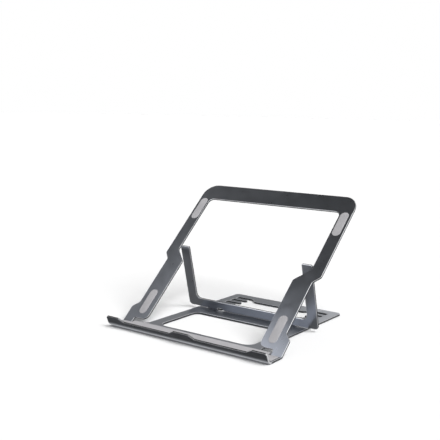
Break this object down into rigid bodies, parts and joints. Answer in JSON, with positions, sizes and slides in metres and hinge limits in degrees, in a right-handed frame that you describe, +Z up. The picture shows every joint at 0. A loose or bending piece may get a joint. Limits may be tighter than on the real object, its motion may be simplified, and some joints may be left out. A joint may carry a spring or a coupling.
{
  "type": "laptop stand",
  "caption": "Folding sheet-metal laptop stand: hooked base, tilting tray frame with soft pads, and a prop frame that stands in notches.",
  "frame": {"origin": "middle of the footprint on the table, at the underside of the feet", "axes": "+X to the right seen from the front, +Y from the lip to the rear, +Z up"},
  "size_m": [0.3, 0.297, 0.2053],
  "materials": {
    "sheet_metal": "satin space-grey anodised sheet with a polished chamfered edge",
    "pin_steel": "ground steel pin",
    "washer_nylon": "matte nylon",
    "silicone": "matte warm-grey silicone",
    "foot_rubber": "matte dark rubber"
  },
  "bodies": {
    "base": {"base_plate": "sheet_metal", "trough_pad": "silicone", "foot_front_left": "foot_rubber", "foot_front_right": "foot_rubber", "foot_rear_left": "foot_rubber", "foot_rear_right": "foot_rubber"},
    "tray": {"tray_frame": "sheet_metal", "tray_pad_lower_left": "silicone", "tray_pad_lower_right": "silicone", "tray_pad_upper_left": "silicone", "tray_pad_upper_right": "silicone", "front_hinge_pin_left": "pin_steel", "front_hinge_pin_right": "pin_steel", "front_hinge_washer_left": "washer_nylon", "front_hinge_washer_right": "washer_nylon"},
    "support": {"support_frame": "sheet_metal", "support_pin_left": "pin_steel", "support_pin_right": "pin_steel", "support_washer_left": "washer_nylon", "support_washer_right": "washer_nylon"}
  },
  "joints": [
    {"name": "tray_hinge", "type": "hinge", "parent": "base", "child": "tray", "pos_m": [0, -0.1086, 0.0023], "axis": [1, 0, 0], "range_deg": [0, 57.5]},
    {"name": "support_hinge", "type": "hinge", "parent": "tray", "child": "support", "pos_m": [0, 0.00885, 0.10858], "axis": [1, 0, 0], "range_deg": [0, 117.94]}
  ]
}
